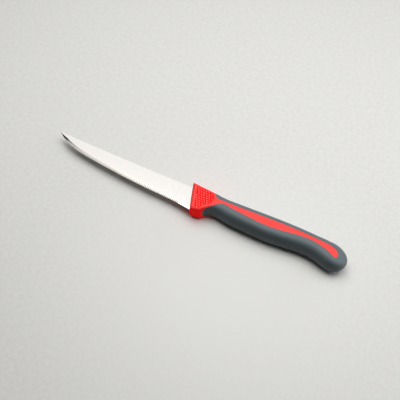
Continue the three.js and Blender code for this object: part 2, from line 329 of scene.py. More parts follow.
@dataclass(frozen=True)
class GroundSteel:
    """Stainless steel with fine grinding lines across the blade, faint smears and painted shade on the
    flutes.
    """

    name: str = "ground_steel"
    dull: Colour = (0.520, 0.506, 0.482)
    bright: Colour = (0.542, 0.528, 0.504)
    # Painted shade: the flutes are darkened to stand in for their dim reflections.
    ground: Colour = (0.17, 0.145, 0.115)
    line_size: Triple = (0.16 * MM, 9.0 * MM, 9.0 * MM)
    line_detail: float = 2.0
    line_share: float = 0.5
    smear_size: Triple = (14.0 * MM, 6.0 * MM, 6.0 * MM)
    smear_detail: float = 3.0
    roughness: float = 0.15
    line_roughness: float = 0.03
    smear_roughness: float = 0.03
    line_depth: float = 0.01 * MM
    line_strength: float = 0.02

    def material(self) -> Finish:
        """Makes the material.

        Returns:
            The steel.
        """
        graph = SurfaceGraph(self.name)
        lines = graph.noise(self.line_size, self.line_detail)
        smears = graph.clouds(self.smear_size, self.smear_detail)
        _, painted_shade = graph.relief()
        dulled = lines * self.line_share + smears * (1.0 - self.line_share)
        colour = graph.between(self.bright, self.dull, dulled)
        graph.dress(
            Metallic=1.0,
            # Painted shade on the flutes.
            Base_Color=graph.between(colour, self.ground, painted_shade),
            Roughness=self.roughness + lines * self.line_roughness + smears * self.smear_roughness,
        )
        graph.bump(lines, self.line_depth, self.line_strength)
        return graph.material


@dataclass(frozen=True)
class Moulded:
    """A moulding with the fine even grain of an etched mould, which takes a painted highlight and painted
    shade from its relief attribute.
    """

    name: str
    deep: Colour
    pale: Colour
    painted_highlight: Colour
    painted_shade: Colour
    drift_size: Triple
    drift_detail: float
    grain_size: Triple
    grain_detail: float
    grain_share: float
    roughness: float
    grain_roughness: float
    painted_shade_roughness: float
    grain_depth: float
    grain_strength: float
    gloss: float

    def even(self) -> dict[str, object]:
        """The shader's other sockets, which are the same all over."""
        raise NotImplementedError

    def material(self) -> Finish:
        """Makes the material.

        Returns:
            The material, with what every moulding has and what even adds.
        """
        graph = SurfaceGraph(self.name)
        grain = graph.noise(self.grain_size, self.grain_detail)
        drift = graph.clouds(self.drift_size, self.drift_detail)
        painted_highlight, painted_shade = graph.relief()
        paler = drift * (1.0 - self.grain_share) + grain * self.grain_share
        colour = graph.between(self.deep, self.pale, paler)
        # Painted highlight where the relief attribute is above 0, painted shade where it is below 0.
        colour = graph.between(colour, self.painted_highlight, painted_highlight)
        graph.dress(
            Base_Color=graph.between(colour, self.painted_shade, painted_shade),
            Roughness=self.roughness + (grain - 0.5) * self.grain_roughness + painted_shade * self.painted_shade_roughness,
            Specular_IOR_Level=self.gloss,
            **self.even(),
        )
        graph.bump(grain, self.grain_depth, self.grain_strength)
        return graph.material


@dataclass(frozen=True)
class SatinPlastic(Moulded):
    """Hard red plastic with a weak painted emission that lifts its shaded sides, a painted highlight on
    dots, and painted shading, a deeper and purer red, in hollows and on steeply sloping sides.
    """

    name: str = "red_satin_plastic"
    deep: Colour = (0.80, 0.052, 0.045)
    pale: Colour = (0.86, 0.062, 0.054)
    # Painted highlight colour for dots and the gate mark's ring, painted shading colour for hollows and
    # steeply sloping sides.
    painted_highlight: Colour = (0.97, 0.175, 0.16)
    painted_shade: Colour = (0.95, 0.0, 0.0)
    drift_size: Triple = (9.0 * MM, 9.0 * MM, 9.0 * MM)
    drift_detail: float = 3.0
    grain_size: Triple = (0.20 * MM, 0.20 * MM, 0.20 * MM)
    grain_detail: float = 1.0
    grain_share: float = 0.3
    roughness: float = 0.38
    grain_roughness: float = 0.10
    painted_shade_roughness: float = 0.4
    grain_depth: float = 0.012 * MM
    grain_strength: float = 0.25
    gloss: float = 0.20
    # Painted emission that lifts the shaded sides of the red.
    painted_glow: Colour = (0.13, 0.0, 0.0)

    def even(self) -> dict[str, object]:
        """The painted emission."""
        return {"Emission_Color": (*self.painted_glow, 1.0), "Emission_Strength": 1.0}


@dataclass(frozen=True)
class SoftRubber(Moulded):
    """Matt soft-touch rubber, with a painted highlight on dots and painted shade on the belly side."""

    name: str = "grey_soft_rubber"
    deep: Colour = (0.092, 0.118, 0.128)
    pale: Colour = (0.116, 0.147, 0.159)
    # Painted highlight colour for the spine dots, painted shade colour for the belly side.
    painted_highlight: Colour = (0.16, 0.19, 0.20)
    painted_shade: Colour = (0.034, 0.047, 0.053)
    drift_size: Triple = (7.0 * MM, 7.0 * MM, 7.0 * MM)
    drift_detail: float = 4.0
    grain_size: Triple = (0.26 * MM, 0.26 * MM, 0.26 * MM)
    grain_detail: float = 2.0
    grain_share: float = 0.4
    roughness: float = 0.50
    grain_roughness: float = 0.14
    painted_shade_roughness: float = 0.0
    grain_depth: float = 0.03 * MM
    grain_strength: float = 0.35
    gloss: float = 0.40
    sheen: float = 0.15
    sheen_roughness: float = 0.40
    sheen_colour: Colour = (0.85, 0.95, 1.0)

    def even(self) -> dict[str, object]:
        """The sheen."""
        tint = (*self.sheen_colour, 1.0)
        return {"Sheen_Weight": self.sheen, "Sheen_Roughness": self.sheen_roughness, "Sheen_Tint": tint}


@dataclass(frozen=True)
class PalePaper:
    """The pale, faintly mottled sheet that the knife lies on, with a painted pool of light just in front of
    the knife, which turns into a backdrop far away.
    """

    name: str = "pale_paper"
    deep: Colour = (0.665, 0.66, 0.637)
    pale: Colour = (0.72, 0.714, 0.69)
    mottle_size: Triple = (3.0 * MM, 3.0 * MM, 3.0 * MM)
    mottle_detail: float = 6.0
    roughness: float = 0.9
    gloss: float = 0.2
    # Painted pool of light: paler paper round a place just in front of the knife.
    middle: Colour = (0.755, 0.75, 0.725)
    light_pool_place: Triple = (0.045, -0.06, 0.0)
    light_pool_reach: Place = (0.135, 0.02)
    backdrop: Colour = (0.66, 0.655, 0.63)
    backdrop_reach: Place = (0.28, 1.0)
    unlit: Colour = (0.0, 0.0, 0.0)

    def material(self) -> Finish:
        """Makes the material.

        Returns:
            The paper.
        """
        graph = SurfaceGraph(self.name)
        mottle = graph.clouds(self.mottle_size, self.mottle_detail)
        away = graph.wire("ShaderNodeVectorMath", "Value", {"operation": "LENGTH"}, in_0=graph.place)
        far = graph.stretched(away, *self.backdrop_reach)
        away = graph.wire("ShaderNodeVectorMath", "Value", {"operation": "DISTANCE"}, in_0=graph.place,
                          in_1=self.light_pool_place)
        near = graph.stretched(away, *self.light_pool_reach)
        colour = graph.between(self.deep, self.pale, mottle)
        graph.dress(
            # The painted pool of light.
            Base_Color=graph.between(colour, self.middle, near),
            Roughness=self.roughness,
            Specular_IOR_Level=self.gloss,
            Emission_Color=graph.between(self.unlit, self.backdrop, far * graph.seen()),
            Emission_Strength=1.0,
        )
        return graph.material


class Slot(Enum):
    """The record's material slots."""

    STEEL = "steel"
    RED_PLASTIC = "red_plastic"
    GREY_RUBBER = "grey_rubber"


class Sharp(Enum):
    """The angle in degrees above which an edge of a piece stays sharp."""

    BLADE = 9.0
    CORE = 32.0
    GRIP = 40.0
    SMALL = 60.0


class Cut(Enum):
    """What a tool does to the piece that it meets."""

    TAKE_AWAY = "DIFFERENCE"
    ADD = "UNION"


def grid_faces(rows: int, columns: int, closed: bool = False) -> Faces:
    """The quads of a grid of points that are numbered row by row.

    Args:
        rows: How many rows there are.
        columns: How many points a row has.
        closed: Whether each row joins up into a ring.

    Returns:
        The point numbers of each quad.
    """
    here = np.arange(columns if closed else columns - 1)
    following = (here + 1) % columns
    start = columns * np.arange(rows - 1)[:, None]
    quads = [start + here, start + following, start + columns + following, start + columns + here]
    return [tuple(quad) for quad in np.stack(quads, axis=-1).reshape(-1, 4).tolist()]


def new_piece(name: str, points: Array, faces: Faces, closed: bool = True) -> Piece:
    """Makes an object whose doubled points are merged and whose faces point outwards.

    Args:
        name: The object's name.
        points: Its points, one row each.
        faces: The point numbers of each face.
        closed: Whether it bounds a solid.

    Returns:
        The object, linked to the scene.
    """
    mesh = bpy.data.meshes.new(name)
    mesh.from_pydata(points.reshape(-1, 3).tolist(), [], faces)
    if closed:
        work = bmesh.new()
        work.from_mesh(mesh)
        bmesh.ops.remove_doubles(work, verts=work.verts, dist=MERGE_DISTANCE)
        bmesh.ops.recalc_face_normals(work, faces=work.faces)
        if work.calc_volume(signed=True) < 0.0:
            bmesh.ops.reverse_faces(work, faces=work.faces)
        work.to_mesh(mesh)
        work.free()
    piece = bpy.data.objects.new(name, mesh)
    bpy.context.scene.collection.objects.link(piece)
    return piece


def prism(name: str, outline: list[Place], half_height: float) -> Piece:
    """A flat solid with a given outline.

    Args:
        name: The object's name.
        outline: Its corners in x and y.
        half_height: How far it reaches above and below z = 0.

    Returns:
        The object.
    """
    flat = np.array(outline)
    rims = [np.column_stack([flat, np.full(len(flat), z)]) for z in (-half_height, half_height)]
    count = len(flat)
    faces = grid_faces(2, count, closed=True)
    faces += [tuple(range(count)), tuple(range(count, 2 * count))]
    return new_piece(name, np.concatenate(rims), faces)


def disc_outline(centre: Place, radius: float, sides: int = 32) -> list[Place]:
    """The corners of a round outline."""
    turns = np.linspace(0.0, 2.0 * math.pi, sides, endpoint=False)
    return [(centre[0] + radius * math.cos(turn), centre[1] + radius * math.sin(turn)) for turn in turns]


def settle(piece: Piece) -> None:
    """Turns an object's modifiers into plain mesh and removes them.

    Args:
        piece: The object.
    """
    graph = bpy.context.evaluated_depsgraph_get()
    graph.update()
    before = piece.data
    piece.data = bpy.data.meshes.new_from_object(piece.evaluated_get(graph))
    piece.modifiers.clear()
    bpy.data.meshes.remove(before)


def combine(piece: Piece, tool: Piece, cut: Cut) -> None:
    """Takes the tool's solid away from the piece or adds it to it, and removes the tool.

    Args:
        piece: The object that changes.
        tool: The object that cuts it or joins it.
        cut: Which of the two.
    """
    modifier = piece.modifiers.new(cut.name, "BOOLEAN")
    modifier.solver = "MANIFOLD"
    modifier.operation = cut.value
    modifier.object = tool
    settle(piece)
    bpy.data.meshes.remove(tool.data)


class Kind(Enum):
    """The kinds of input that a node tool has."""

    NUMBER = "NodeSocketFloat"
    COUNT = "NodeSocketInt"
    CHOICE = "NodeSocketBool"
    FINISH = "NodeSocketMaterial"


class NodeTool:
    """A Geometry Nodes tree with named inputs, run on an object and left as plain mesh."""

    name = "node_tool"
    kinds: dict[str, Kind] = {}

    def __init__(self) -> None:
        """Makes the tree, its inputs and its end."""
        tree = bpy.data.node_groups.new(self.name, "GeometryNodeTree")
        tree.interface.new_socket("Geometry", in_out="INPUT", socket_type="NodeSocketGeometry")
        for name, kind in (self.kinds | {"Finish": Kind.FINISH}).items():
            tree.interface.new_socket(name, in_out="INPUT", socket_type=kind.value)
        tree.interface.new_socket("Geometry", in_out="OUTPUT", socket_type="NodeSocketGeometry")
        self.graph = Graph(tree)
        self.entry = self.graph.node("NodeGroupInput")
        real = self.graph.wire("GeometryNodeRealizeInstances", Geometry=self.grow())
        dressed = self.graph.wire("GeometryNodeSetMaterial", Geometry=real, Material=self.given("Finish"))
        self.graph.node("NodeGroupOutput", Geometry=dressed)

    def given(self, name: str) -> Wire:
        """One of the tree's inputs."""
        return Wire(self.graph, self.entry.outputs[name])

    def kept(self, name: str, data_type: str = "FLOAT") -> Wire:
        """A named attribute of the mesh."""
        return self.graph.wire("GeometryNodeInputNamedAttribute", 0, {"data_type": data_type}, Name=name)

    def grow(self) -> Wire:
        """Adds the nodes that do the work and gives the geometry they end in."""
        raise NotImplementedError

    def run(self, piece: Piece, **values: object) -> None:
        """Runs the tree on an object.

        Args:
            piece: The object, whose mesh becomes the result.
            values: The inputs, by name with _ for a space.
        """
        modifier = piece.modifiers.new(self.name, "NODES")
        modifier.node_group = self.graph.tree
        for item in self.graph.tree.interface.items_tree:
            key = item.name.replace(" ", "_")
            if item.in_out == "INPUT" and key in values:
                modifier[item.identifier] = values[key]
        settle(piece)


class DotTool(NodeTool):
    """Sets staggered rows of low domes on a patch whose lattice attribute gives each point's flat place."""

    name = "staggered_dots"
    kinds = {
        "Pitch": Kind.NUMBER,
        "Row Step": Kind.NUMBER,
        "Columns": Kind.COUNT,
        "Rows": Kind.COUNT,
        "Middle X": Kind.NUMBER,
        "Middle Y": Kind.NUMBER,
        "Radius": Kind.NUMBER,
        "Height": Kind.NUMBER,
        "Both Faces": Kind.CHOICE,
    }
    segments = 10
    rings = 6

    def lattice(self) -> Wire:
        """Adds the flat lattice, with every second row set back by half a pitch.

        Returns:
            Its points.
        """
        graph = self.graph
        pitch = self.given("Pitch")
        step = self.given("Row Step")
        rows = self.given("Rows")
        columns = self.given("Columns")
        sheet = graph.wire(
            "GeometryNodeMeshGrid",
            Size_X=(columns - 1.0) * pitch,
            Size_Y=(rows - 1.0) * step,
            Vertices_X=columns,
            Vertices_Y=rows,
        )
        flat = graph.node("ShaderNodeSeparateXYZ", Vector=graph.wire("GeometryNodeInputPosition"))
        x, y = (Wire(graph, flat.outputs[number]) for number in range(2))
        row = graph.math("ROUND", y / step + (rows - 1.0) * 0.5)
        shifted = graph.wire(
            "ShaderNodeCombineXYZ",
            X=x + row % 2.0 * pitch * 0.5 + self.given("Middle X"),
            Y=y + self.given("Middle Y"),
        )
        return graph.wire("GeometryNodeSetPosition", Geometry=sheet, Position=shifted)

    def on_patch(self, value: Wire, out: str = "Value") -> Wire:
        """Reads the patch at the lattice points.

        Args:
            value: What to read.
            out: Which of the node's outputs to give.

        Returns:
            The output.
        """
        return self.graph.wire(
            "GeometryNodeSampleUVSurface",
            out,
            {"data_type": "FLOAT_VECTOR"},
            Mesh=self.given("Geometry"),
            Value=value,
            in_2=self.kept("lattice", "FLOAT_VECTOR"),
            Sample_UV=self.graph.wire("GeometryNodeInputPosition"),
        )

    def dome(self) -> Wire:
        """Adds one dot, half of it under the surface.

        Returns:
            The dot.
        """
        graph = self.graph
        radius = self.given("Radius")
        size = graph.wire("ShaderNodeCombineXYZ", X=radius, Y=radius, Z=self.given("Height"))
        ball = graph.wire("GeometryNodeMeshUVSphere", Segments=self.segments, Rings=self.rings, Radius=1.0)
        return graph.wire("GeometryNodeTransform", Geometry=ball, Scale=size)

    def grow(self) -> Wire:
        """Drops the lattice points that miss the patch and sets a dome on each of the others.

        Returns:
            The dots.
        """
        graph = self.graph
        position = graph.wire("GeometryNodeInputPosition")
        facing = graph.wire("GeometryNodeInputNormal")
        hit = self.on_patch(position, "Is Valid")
        missed = graph.wire("FunctionNodeBooleanMath", 0, {"operation": "NOT"}, in_0=hit)
        points = graph.wire("GeometryNodeDeleteGeometry", Geometry=self.lattice(), Selection=missed)
        settings = {"data_type": "FLOAT_VECTOR"}
        points = graph.wire(
            "GeometryNodeStoreNamedAttribute",
            0,
            settings,
            Geometry=points,
            Name="facing",
            Value=self.on_patch(facing),
        )
        points = graph.wire("GeometryNodeSetPosition", Geometry=points, Position=self.on_patch(position))
        normal = self.kept("facing", "FLOAT_VECTOR")
        turned = graph.wire("FunctionNodeAlignRotationToVector", 0, {"axis": "Z"}, Vector=normal)
        dome = self.dome()
        dots = graph.wire("GeometryNodeInstanceOnPoints", Points=points, Instance=dome, Rotation=turned)
        dots = graph.wire("GeometryNodeRealizeInstances", Geometry=dots)
        dots = graph.wire("GeometryNodeSetShadeSmooth", Geometry=dots, Shade_Smooth=True)
        under = graph.wire("GeometryNodeTransform", Geometry=dots, Scale=(1.0, 1.0, -1.0))
        under = graph.wire("GeometryNodeFlipFaces", Mesh=under)
        joined = graph.node("GeometryNodeJoinGeometry", Geometry=under)
        graph.feed(joined.inputs[0], dots)
        return graph.wire(
            "GeometryNodeSwitch",
            0,
            {"input_type": "GEOMETRY"},
            Switch=self.given("Both Faces"),
            in_1=dots,
            in_2=Wire(graph, joined.outputs[0]),
        )


class FluteTool(NodeTool):
    """Grinds shallow flutes into a blade's bevels, which leave points between them on the edge."""

    name = "ground_flutes"
    kinds = {"Pitch": Kind.NUMBER, "Tooth Depth": Kind.NUMBER, "Flute Depth": Kind.NUMBER}
    steepness = 3.0

    def grow(self) -> Wire:
        """Moves the bevel's points by where they lie between two teeth and marks what was ground away for
        painted shade.

        Returns:
            The blade.
        """
        graph = self.graph
        share = self.kept("bevel")
        turn = graph.math("FRACT", self.kept("along") / self.given("Pitch")) * math.pi
        wave = graph.math("SINE", turn) * self.kept("toothed")
        hollow = arch(share) * wave * self.given("Flute Depth")
        ground = graph.math("MINIMUM", share * self.steepness, 1.0) * wave * wave
        move = graph.wire(
            "ShaderNodeCombineXYZ",
            Y=share * share * wave * self.given("Tooth Depth"),
            Z=hollow * self.kept("side") * -1.0,
        )
        fluted = graph.wire("GeometryNodeSetPosition", Geometry=self.given("Geometry"), Offset=move)
        # The ground flutes are marked for painted shade.
        depth = ground * -1.0
        return graph.wire("GeometryNodeStoreNamedAttribute", Geometry=fluted, Name=PAINTED_LIGHT_MARK, Value=depth)


@dataclass(frozen=True)
class HandleForm:
    """The handle's outside, from the bolster's front to the butt, which core, grip and dots share."""

    length: float = 122.0 * MM
    spine: SmoothLine = SmoothLine((
        (0.0, 1.7 * MM), (20.7 * MM, -0.2 * MM), (78.0 * MM, 1.6 * MM), (103.0 * MM, 1.05 * MM),
        (122.0 * MM, 0.55 * MM),
    ))
    bolster_foot: SmoothLine = SmoothLine(
        ((7.866 * MM, -19.7 * MM), (15.493 * MM, -18.7 * MM)),
        level_ends=False,
    )
    bolster_corner_round: float = 0.9 * MM
    notch_x: float = 23.6 * MM
    notch_depth: float = 13.85 * MM
    notch_radius: float = 9.2 * MM
    grip_belly: SmoothLine = SmoothLine((
        (23.6 * MM, -13.85 * MM), (35.7 * MM, -15.6 * MM), (61.55 * MM, -16.4 * MM),
        (92.6 * MM, -13.9 * MM), (120.0 * MM, -19.4 * MM),
    ))
    butt_length: float = 14.1 * MM
    butt_drop: float = 8.8 * MM
    bolster_thickness: float = 10.6 * MM
    grip_thickness: float = 14.5 * MM
    thickening: Place = (6.0 * MM, 16.0 * MM)
    rounding: Place = (10.0 * MM, 20.0 * MM)
    bolster_flank: float = 2.3 * MM
    bolster_squareness: float = 4.5
    grip_squareness: float = 2.2
    front_set_back: float = 0.5 * MM
    front_slant: float = math.radians(20.5)
    front_flat: float = 3.4 * MM
    front_turn: float = 1.2 * MM
    front_chamfer: float = math.radians(40.0)
    dish_middle: Place = (13.5 * MM, -8.2 * MM)
    dish_size: Place = (15.0 * MM, 17.0 * MM)
    dish_depth: float = 0.6 * MM
    pad_front_margin: float = 3.0 * MM
    pad_y: Place = (-17.9 * MM, -0.5 * MM)
    pad_corner_reach: float = 31.2 * MM
    pad_end_middle: Place = (15.0 * MM, -7.6 * MM)
    pad_end_radius: float = 5.8 * MM
    pad_depth: float = 0.50 * MM
    pad_edge: float = 0.9 * MM
    spine_band: float = 4.85 * MM
    spine_band_front: float = 17.6 * MM
    spine_band_lead: float = 6.6 * MM
    belly_band: SmoothLine = SmoothLine((
        (35.7 * MM, 7.75 * MM), (61.55 * MM, 6.8 * MM), (92.6 * MM, 7.85 * MM), (107.0 * MM, 8.0 * MM),
        (114.9 * MM, 6.7 * MM),
    ))
    belly_band_front: float = 16.6 * MM
    belly_band_step: float = 0.5 * MM
    belly_band_lead: Place = (17.6 * MM, 12.6 * MM)
    belly_corner_reach: float = 1.8 * MM
    belly_corner_slit: float = 0.60
    stripe_end: float = 114.9 * MM
    stripe_close_top: float = 14.0 * MM
    stripe_close_low: float = 3.5 * MM
    stripe_drop: float = 9.1 * MM
    stripe_close_squareness: float = 2.3
    rim_rounds: int = 16
    front_stations: int = 22
    spine_lead_stations: int = 36
    spine_lead_lean: float = 2.0
    middle_stations: int = 100
    stripe_tail: float = 15.0 * MM
    stripe_tail_stations: int = 60
    stripe_tail_lean: float = 2.4
    butt_stations: int = 26

    def belly(self, x: Array) -> Array:
        """The belly's outline: the bolster's foot, the finger notch and the grip.

        Args:
            x: Where along the handle.

        Returns:
            Its heights.
        """
        reach = np.maximum(self.notch_radius**2 - (x - self.notch_x) ** 2, 0.0)
        notch = np.sqrt(reach) - self.notch_radius - self.notch_depth
        front = soft_highest(notch, self.bolster_foot(x), self.bolster_corner_round)
        return np.where(x < self.notch_x, front, self.grip_belly(x))

    def section(self, x: Array, inset: Array) -> dict[str, Array]:
        """The measures of the handle's cross section.

        Args:
            x: Where the section is.
            inset: How far under the outside it runs.

        Returns:
            Heights of the face's two edges, widths of the two flanks, half thickness and squareness.
        """
        closing = np.clip((x - self.length + self.butt_length) / (self.butt_length - inset), 0.0, 1.0)
        shrink = np.sqrt(1.0 - closing**2)
        rounding = ease((x - self.rounding[0]) / self.rounding[1])
        thickness = mix(self.bolster_thickness, self.grip_thickness,
                        ease((x - self.thickening[0]) / self.thickening[1]))
        spine = mix(-self.butt_drop, self.spine(x) - inset, shrink)
        belly = mix(-self.butt_drop, self.belly(x) + inset, shrink)
        spine_flank = shrink * (mix(self.bolster_flank, self.spine_band, rounding) - inset / 2.0)
        belly_flank = shrink * (mix(self.bolster_flank, self.belly_band(x), rounding) - inset / 2.0)
        return {
            "top": spine - spine_flank,
            "low": belly + belly_flank,
            "spine_flank": spine_flank,
            "belly_flank": belly_flank,
            "half": shrink * (thickness / 2.0 - inset),
            "squareness": mix(self.bolster_squareness, self.grip_squareness, rounding),
        }

    def surface(self, x: Array, around: Array, inset: Array | float = 0.0) -> Array:
        """Points of the upper half of the outside.

        Args:
            x: Where along the handle.
            around: Where round the section.
            inset: How far under the outside.

        Returns:
            The points, with x, y and z along the last axis.
        """
        x, around, inset = np.broadcast_arrays(x, around, inset)
        cut = self.section(x, inset)
        power = cut["squareness"]
        turn = np.where(around < 1.0, 1.0 - around, around - 2.0)
        turn = np.clip(turn, 0.0, 1.0)
        size = (turn**power + (1.0 - turn) ** power) ** (1.0 / power)
        out = turn / size
        up = (1.0 - turn) / size
        face = mix(cut["top"], cut["low"], np.clip(around - 1.0, 0.0, 1.0))
        y = face + np.where(around < 1.0, cut["spine_flank"], -cut["belly_flank"]) * out
        z = cut["half"] * up - self.dish(x, y) * up
        return np.stack([x, y, z], axis=-1)

    def inside_pad(self, x: Array, y: Array) -> Array:
        """How far inside the thumb pad's outline places on a face lie.

        Args:
            x: Where along the handle.
            y: Their heights.

        Returns:
            The distances to the outline, below 0 outside it.
        """
        front = x - self.front_x(y, 0.0) - self.pad_front_margin
        corner = (self.pad_corner_reach - x + y) * math.sqrt(0.5)
        beyond = np.maximum(x - self.pad_end_middle[0], 0.0)
        end = self.pad_end_radius - np.hypot(beyond, y - self.pad_end_middle[1])
        end = np.where(beyond > 0.0, end, self.pad_end_radius)
        return np.minimum.reduce([front, corner, end, y - self.pad_y[0], self.pad_y[1] - y])

    def dish(self, x: Array, y: Array) -> Array:
        """How deep the thumb's hollow and the pad set down into it are.

        Args:
            x: Where along the handle.
            y: Heights on a face.

        Returns:
            The depth at each place.
        """
        across = 2.0 * (x - self.dish_middle[0]) / self.dish_size[0]
        along = 2.0 * (y - self.dish_middle[1]) / self.dish_size[1]
        hollow = self.dish_depth * np.maximum(0.0, 1.0 - across**2 - along**2)
        return hollow + self.pad_depth * ease(self.inside_pad(x, y) / self.pad_edge)

    def around_at(self, x: Array, y: Array) -> Array:
        """Where round the section the outside has a given height.

        Args:
            x: Where along the handle.
            y: The height.

        Returns:
            The place round the section.
        """
        cut = self.section(x, 0.0)
        power = cut["squareness"]
        above = np.clip((y - cut["top"]) / cut["spine_flank"], 0.0, 1.0)
        below = np.clip((cut["low"] - y) / cut["belly_flank"], 0.0, 1.0)
        above_up = (1.0 - above**power) ** (1.0 / power)
        below_up = (1.0 - below**power) ** (1.0 / power)
        face = 1.0 + (cut["top"] - y) / (cut["top"] - cut["low"])
        spine_side = above_up / (above + above_up)
        belly_side = 2.0 + below / (below + below_up)
        return np.where(y > cut["top"], spine_side, np.where(y < cut["low"], belly_side, face))

    def stripe(self, x: Array) -> tuple[Array, Array]:
        """Where round the section the red lies, from its upper edge to its lower edge.

        Args:
            x: Where along the handle.

        Returns:
            The places of its upper and its lower edge.
        """
        lead = np.clip((x - self.spine_band_front) / self.spine_band_lead, 0.0, 1.0)
        top = self.spine(x) - self.spine_band * np.sin(lead * math.pi / 2.0)
        lead = ease((x - self.belly_band_lead[0]) / self.belly_band_lead[1])
        low = self.belly(x) + mix(self.belly_band_step, self.belly_band(x), lead)
        edges = []
        for height, close in ((top, self.stripe_close_top), (low, self.stripe_close_low)):
            t = np.clip((x - self.stripe_end + close) / close, 0.0, 1.0)
            power = self.stripe_close_squareness
            opened = (1.0 - t**power) ** (1.0 / power)
            edges.append(self.around_at(x, mix(-self.stripe_drop, height, opened)))
        corner = np.clip((x - self.belly_band_front) / self.belly_corner_reach, 0.0, 1.0)
        corner = mix(self.belly_corner_slit, 1.0, np.sin(corner * math.pi / 2.0))
        return edges[0], mix(BELLY_END, edges[1], corner)

    def front_x(self, y: Array, z: Array) -> Array:
        """The x of the bolster's slanted front, flat in the middle and chamfered above and below.

        Args:
            y: Heights on it.
            z: How far above or below the middle.

        Returns:
            The x of each place.
        """
        beyond = soft_highest(np.abs(z) - self.front_flat, 0.0, self.front_turn)
        return self.front_set_back + beyond * math.tan(self.front_chamfer) - y * math.tan(self.front_slant)

    def front_rim(self, around: Array) -> Array:
        """Closes in on the rim where the bolster's front cuts the outside.

        Args:
            around: Places round the section.

        Returns:
            The rim's x at each.
        """
        x = np.zeros_like(around)
        for _ in range(self.rim_rounds):
            point = self.surface(x, around)
            x = self.front_x(point[..., 1], point[..., 2])
        return x

    def stations(self) -> Array:
        """Sections from the grip's first place to the butt, close together where the outlines turn.

        Returns:
            Their x.
        """
        butt = self.length - self.butt_length
        start = math.asin((self.stripe_end - butt) / self.butt_length)
        front = self.spine_band_front
        led = front + self.spine_band_lead
        tail = self.stripe_end - self.stripe_tail
        runs = [
            spread(self.belly_band_front, front, self.front_stations),
            spread(front, led, self.spine_lead_stations, self.spine_lead_lean),
            np.linspace(led, tail, self.middle_stations),
            spread(self.stripe_end, tail, self.stripe_tail_stations, self.stripe_tail_lean)[::-1],
            butt + self.butt_length * np.sin(np.linspace(start, math.pi / 2.0, self.butt_stations)),
        ]
        return np.concatenate([runs[0]] + [run[1:] for run in runs[1:]])


def mark(piece: Piece, name: str, values: Array) -> None:
    """Keeps a number for each of a piece's points as an attribute."""
    kept = piece.data.attributes.new(name, "FLOAT", "POINT")
    kept.data.foreach_set("value", values)


def places_of(piece: Piece) -> Array:
    """The places of a piece's points, one row each."""
    return np.array([vertex.co for vertex in piece.data.vertices])


def normals_of(piece: Piece) -> Array:
    """Which way a piece's surface faces at its points, one row each."""
    return np.array([vertex.normal for vertex in piece.data.vertices])


def mirrored(points: Array) -> Array:
    """The points' mirror image in the knife's middle plane."""
    return points * np.array([1.0, 1.0, -1.0])


@dataclass
class Workshop:
    """Where finished pieces go: it makes the finishes once and moves pieces into the part's frame."""

    finishes: dict[Slot, Finish] = field(default_factory=lambda: {
        Slot.STEEL: GroundSteel().material(),
        Slot.RED_PLASTIC: SatinPlastic().material(),
        Slot.GREY_RUBBER: SoftRubber().material(),
    })

    def hand_over(self, piece: Piece, slot: Slot, sharp: Sharp, node: str | None = None) -> None:
        """Dresses a piece, moves it to its place and ties it to the part.

        Args:
            piece: The object, still in the knife's own frame.
            slot: Its material slot.
            sharp: Which of its edges stay sharp.
            node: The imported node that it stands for, if any.
        """
        low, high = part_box("blade")
        middle = Vector((low.x + BLADE_LENGTH, high.y, (low.z + high.z) / 2.0))
        mesh = piece.data
        mesh.transform(Matrix.Translation(middle))
        mesh.materials.clear()
        mesh.materials.append(self.finishes[slot])
        mesh.polygons.foreach_set("material_index", [0] * len(mesh.polygons))
        mesh.polygons.foreach_set("use_smooth", [True] * len(mesh.polygons))
        mesh.set_sharp_from_angle(angle=math.radians(sharp.value))
        mesh.update()
        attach(piece, BODY)
        if node:
            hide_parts(node)
        LOG.info("%s: %d faces, %s", piece.name, len(mesh.polygons), slot.value)


